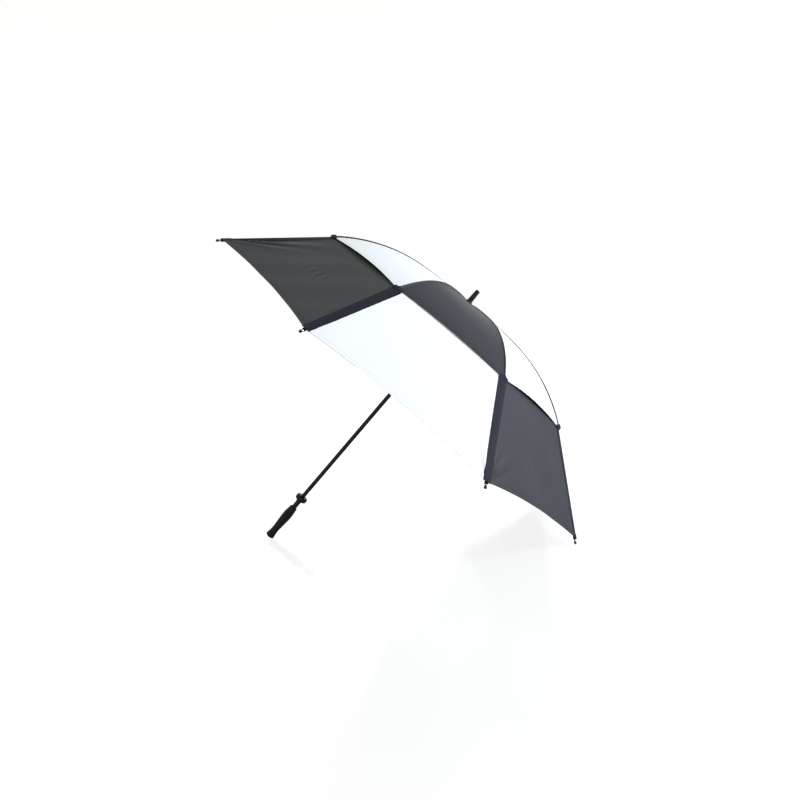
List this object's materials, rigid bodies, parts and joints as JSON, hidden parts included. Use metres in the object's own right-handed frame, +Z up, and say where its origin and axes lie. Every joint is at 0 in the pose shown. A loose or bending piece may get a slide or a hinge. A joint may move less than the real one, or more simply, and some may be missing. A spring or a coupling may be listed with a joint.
{
  "type": "golf umbrella",
  "caption": "Vented golf umbrella, open and lying on its grip and two rib tips; folds by a runner, hinged ribs and stretchers.",
  "frame": {"origin": "on the floor, under the middle of the umbrella's box as it lies open", "axes": "+Z up; +X from the handle's end towards the canopy, along the floor; the umbrella is symmetric across the XZ plane, and the shaft leans up from -X to +X"},
  "size_m": [0.8678, 1.2108, 0.868],
  "materials": {
    "black_cloth": "woven nylon, soft sheen",
    "white_cloth": "woven nylon, soft sheen",
    "shaft_paint": "satin black paint",
    "rib_fibreglass": "black fibreglass rod",
    "stretcher_metal": "black anodised",
    "tip_metal": "nickel plated",
    "spring_steel": "drawn wire",
    "head_plastic": "moulded nylon",
    "gloss_plastic": "polished moulding",
    "grip_rubber": "moulded rubber"
  },
  "bodies": {
    "shaft": {"shaft": "shaft_paint", "top_notch": "head_plastic", "notch_wire": "spring_steel", "handle_grip": "grip_rubber", "handle_collar": "gloss_plastic", "handle_end_cap": "gloss_plastic", "canopy_washer": "gloss_plastic", "ferrule": "gloss_plastic"},
    "runner": {"runner": "head_plastic", "runner_wire": "spring_steel"},
    "top_catch": {"top_catch": "spring_steel"},
    "bottom_catch": {"bottom_catch": "spring_steel"},
    "rib_inner_1": {"rib_inner_1": "rib_fibreglass", "upper_panel_1": "white_cloth"},
    "rib_outer_1": {"rib_outer_1": "rib_fibreglass", "rib_tip_1": "tip_metal", "lower_panel_1": "black_cloth"},
    "stretcher_1": {"stretcher_1": "stretcher_metal"},
    "rib_inner_2": {"rib_inner_2": "rib_fibreglass", "upper_panel_2": "black_cloth"},
    "rib_outer_2": {"rib_outer_2": "rib_fibreglass", "rib_tip_2": "tip_metal", "lower_panel_2": "white_cloth"},
    "stretcher_2": {"stretcher_2": "stretcher_metal"},
    "rib_inner_3": {"rib_inner_3": "rib_fibreglass", "upper_panel_3": "white_cloth"},
    "rib_outer_3": {"rib_outer_3": "rib_fibreglass", "rib_tip_3": "tip_metal", "lower_panel_3": "black_cloth"},
    "stretcher_3": {"stretcher_3": "stretcher_metal"},
    "rib_inner_4": {"rib_inner_4": "rib_fibreglass", "upper_panel_4": "black_cloth"},
    "rib_outer_4": {"rib_outer_4": "rib_fibreglass", "rib_tip_4": "tip_metal", "lower_panel_4": "white_cloth"},
    "stretcher_4": {"stretcher_4": "stretcher_metal"},
    "rib_inner_5": {"rib_inner_5": "rib_fibreglass", "upper_panel_5": "white_cloth"},
    "rib_outer_5": {"rib_outer_5": "rib_fibreglass", "rib_tip_5": "tip_metal", "lower_panel_5": "black_cloth"},
    "stretcher_5": {"stretcher_5": "stretcher_metal"},
    "rib_inner_6": {"rib_inner_6": "rib_fibreglass", "upper_panel_6": "black_cloth"},
    "rib_outer_6": {"rib_outer_6": "rib_fibreglass", "rib_tip_6": "tip_metal", "lower_panel_6": "white_cloth"},
    "stretcher_6": {"stretcher_6": "stretcher_metal"},
    "rib_inner_7": {"rib_inner_7": "rib_fibreglass", "upper_panel_7": "white_cloth"},
    "rib_outer_7": {"rib_outer_7": "rib_fibreglass", "rib_tip_7": "tip_metal", "lower_panel_7": "black_cloth"},
    "stretcher_7": {"stretcher_7": "stretcher_metal"},
    "rib_inner_8": {"rib_inner_8": "rib_fibreglass", "upper_panel_8": "black_cloth"},
    "rib_outer_8": {"rib_outer_8": "rib_fibreglass", "rib_tip_8": "tip_metal", "lower_panel_8": "white_cloth"},
    "stretcher_8": {"stretcher_8": "stretcher_metal"}
  },
  "joints": [
    {"name": "canopy_fold", "type": "hinge", "parent": "shaft", "child": "rib_inner_1", "pos_m": [0.23279, 0.00459, 0.63655], "axis": [-0.2675, 0.9239, 0.2737], "range_deg": [0, 77.47], "deforming": ["upper_panel_1", "upper_panel_2", "upper_panel_3", "upper_panel_4", "upper_panel_5", "upper_panel_6", "upper_panel_7", "upper_panel_8", "lower_panel_1", "lower_panel_2", "lower_panel_3", "lower_panel_4", "lower_panel_5", "lower_panel_6", "lower_panel_7", "lower_panel_8"]},
    {"name": "rib_spring_1", "type": "hinge", "parent": "rib_inner_1", "child": "rib_outer_1", "pos_m": [0.40363, 0.12857, 0.385], "axis": [0.2675, -0.9239, -0.2737], "range_deg": [0, 25.24]},
    {"name": "stretcher_link_1", "type": "hinge", "parent": "rib_inner_1", "child": "stretcher_1", "pos_m": [0.39653, 0.12641, 0.38536], "axis": [0.2675, -0.9239, -0.2737], "range_deg": [0, 154.94]},
    {"name": "rib_fold_2", "type": "hinge", "parent": "shaft", "child": "rib_inner_2", "pos_m": [0.22825, 0.01109, 0.64119], "axis": [-0.6458, 0.3827, 0.6607], "range_deg": [0, 77.47]},
    {"name": "rib_spring_2", "type": "hinge", "parent": "rib_inner_2", "child": "rib_outer_2", "pos_m": [0.27654, 0.31039, 0.51503], "axis": [0.6458, -0.3827, -0.6607], "range_deg": [0, 25.24]},
    {"name": "stretcher_link_2", "type": "hinge", "parent": "rib_inner_2", "child": "stretcher_2", "pos_m": [0.27158, 0.30517, 0.5132], "axis": [0.6458, -0.3827, -0.6607], "range_deg": [0, 154.94]},
    {"name": "rib_fold_3", "type": "hinge", "parent": "shaft", "child": "rib_inner_3", "pos_m": [0.22183, 0.01109, 0.64776], "axis": [-0.6458, -0.3827, 0.6607], "range_deg": [0, 77.47]},
    {"name": "rib_spring_3", "type": "hinge", "parent": "rib_inner_3", "child": "rib_outer_3", "pos_m": [0.09681, 0.31039, 0.69892], "axis": [0.6458, 0.3827, -0.6607], "range_deg": [0, 25.24]},
    {"name": "stretcher_link_3", "type": "hinge", "parent": "rib_inner_3", "child": "stretcher_3", "pos_m": [0.09487, 0.30517, 0.694], "axis": [0.6458, 0.3827, -0.6607], "range_deg": [0, 154.94]},
    {"name": "rib_fold_4", "type": "hinge", "parent": "shaft", "child": "rib_inner_4", "pos_m": [0.21729, 0.00459, 0.6524], "axis": [-0.2675, -0.9239, 0.2737], "range_deg": [0, 77.47]},
    {"name": "rib_spring_4", "type": "hinge", "parent": "rib_inner_4", "child": "rib_outer_4", "pos_m": [-0.03028, 0.12857, 0.82895], "axis": [0.2675, 0.9239, -0.2737], "range_deg": [0, 25.24]},
    {"name": "stretcher_link_4", "type": "hinge", "parent": "rib_inner_4", "child": "stretcher_4", "pos_m": [-0.03008, 0.12641, 0.82184], "axis": [0.2675, 0.9239, -0.2737], "range_deg": [0, 154.94]},
    {"name": "rib_fold_5", "type": "hinge", "parent": "shaft", "child": "rib_inner_5", "pos_m": [0.21729, -0.00459, 0.6524], "axis": [0.2675, -0.9239, -0.2737], "range_deg": [0, 77.47]},
    {"name": "rib_spring_5", "type": "hinge", "parent": "rib_inner_5", "child": "rib_outer_5", "pos_m": [-0.03028, -0.12857, 0.82895], "axis": [-0.2675, 0.9239, 0.2737], "range_deg": [0, 25.24]},
    {"name": "stretcher_link_5", "type": "hinge", "parent": "rib_inner_5", "child": "stretcher_5", "pos_m": [-0.03008, -0.12641, 0.82184], "axis": [-0.2675, 0.9239, 0.2737], "range_deg": [0, 154.94]},
    {"name": "rib_fold_6", "type": "hinge", "parent": "shaft", "child": "rib_inner_6", "pos_m": [0.22183, -0.01109, 0.64776], "axis": [0.6458, -0.3827, -0.6607], "range_deg": [0, 77.47]},
    {"name": "rib_spring_6", "type": "hinge", "parent": "rib_inner_6", "child": "rib_outer_6", "pos_m": [0.09681, -0.31039, 0.69892], "axis": [-0.6458, 0.3827, 0.6607], "range_deg": [0, 25.24]},
    {"name": "stretcher_link_6", "type": "hinge", "parent": "rib_inner_6", "child": "stretcher_6", "pos_m": [0.09487, -0.30517, 0.694], "axis": [-0.6458, 0.3827, 0.6607], "range_deg": [0, 154.94]},
    {"name": "rib_fold_7", "type": "hinge", "parent": "shaft", "child": "rib_inner_7", "pos_m": [0.22825, -0.01109, 0.64119], "axis": [0.6458, 0.3827, -0.6607], "range_deg": [0, 77.47]},
    {"name": "rib_spring_7", "type": "hinge", "parent": "rib_inner_7", "child": "rib_outer_7", "pos_m": [0.27654, -0.31039, 0.51503], "axis": [-0.6458, -0.3827, 0.6607], "range_deg": [0, 25.24]},
    {"name": "stretcher_link_7", "type": "hinge", "parent": "rib_inner_7", "child": "stretcher_7", "pos_m": [0.27158, -0.30517, 0.5132], "axis": [-0.6458, -0.3827, 0.6607], "range_deg": [0, 154.94]},
    {"name": "rib_fold_8", "type": "hinge", "parent": "shaft", "child": "rib_inner_8", "pos_m": [0.23279, -0.00459, 0.63655], "axis": [0.2675, 0.9239, -0.2737], "range_deg": [0, 77.47]},
    {"name": "rib_spring_8", "type": "hinge", "parent": "rib_inner_8", "child": "rib_outer_8", "pos_m": [0.40363, -0.12857, 0.385], "axis": [-0.2675, -0.9239, 0.2737], "range_deg": [0, 25.24]},
    {"name": "stretcher_link_8", "type": "hinge", "parent": "rib_inner_8", "child": "stretcher_8", "pos_m": [0.39653, -0.12641, 0.38536], "axis": [-0.2675, -0.9239, 0.2737], "range_deg": [0, 154.94]},
    {"name": "runner_link", "type": "hinge", "parent": "stretcher_1", "child": "runner", "pos_m": [0.14915, 0.00459, 0.5548], "axis": [-0.2675, 0.9239, 0.2737], "range_deg": [0, 77.47]},
    {"name": "top_catch_press", "type": "hinge", "parent": "shaft", "child": "top_catch", "pos_m": [0.08612, 0, 0.5087], "axis": [0.699, 0, -0.7151], "range_deg": [0, 4.5], "stiffness_Nm_per_rad": 0.6},
    {"name": "bottom_catch_press", "type": "hinge", "parent": "shaft", "child": "bottom_catch", "pos_m": [-0.23432, 0, 0.1955], "axis": [-0.699, 0, 0.7151], "range_deg": [0, 4.5], "stiffness_Nm_per_rad": 0.6}
  ],
  "couplings": [
    {"joint": "rib_spring_1", "follows": "canopy_fold", "ratio": 0.32575},
    {"joint": "stretcher_link_1", "follows": "canopy_fold", "ratio": 2},
    {"joint": "rib_fold_2", "follows": "canopy_fold", "ratio": 1},
    {"joint": "rib_spring_2", "follows": "canopy_fold", "ratio": 0.32575},
    {"joint": "stretcher_link_2", "follows": "canopy_fold", "ratio": 2},
    {"joint": "rib_fold_3", "follows": "canopy_fold", "ratio": 1},
    {"joint": "rib_spring_3", "follows": "canopy_fold", "ratio": 0.32575},
    {"joint": "stretcher_link_3", "follows": "canopy_fold", "ratio": 2},
    {"joint": "rib_fold_4", "follows": "canopy_fold", "ratio": 1},
    {"joint": "rib_spring_4", "follows": "canopy_fold", "ratio": 0.32575},
    {"joint": "stretcher_link_4", "follows": "canopy_fold", "ratio": 2},
    {"joint": "rib_fold_5", "follows": "canopy_fold", "ratio": 1},
    {"joint": "rib_spring_5", "follows": "canopy_fold", "ratio": 0.32575},
    {"joint": "stretcher_link_5", "follows": "canopy_fold", "ratio": 2},
    {"joint": "rib_fold_6", "follows": "canopy_fold", "ratio": 1},
    {"joint": "rib_spring_6", "follows": "canopy_fold", "ratio": 0.32575},
    {"joint": "stretcher_link_6", "follows": "canopy_fold", "ratio": 2},
    {"joint": "rib_fold_7", "follows": "canopy_fold", "ratio": 1},
    {"joint": "rib_spring_7", "follows": "canopy_fold", "ratio": 0.32575},
    {"joint": "stretcher_link_7", "follows": "canopy_fold", "ratio": 2},
    {"joint": "rib_fold_8", "follows": "canopy_fold", "ratio": 1},
    {"joint": "rib_spring_8", "follows": "canopy_fold", "ratio": 0.32575},
    {"joint": "stretcher_link_8", "follows": "canopy_fold", "ratio": 2},
    {"joint": "runner_link", "follows": "canopy_fold", "ratio": 1}
  ]
}
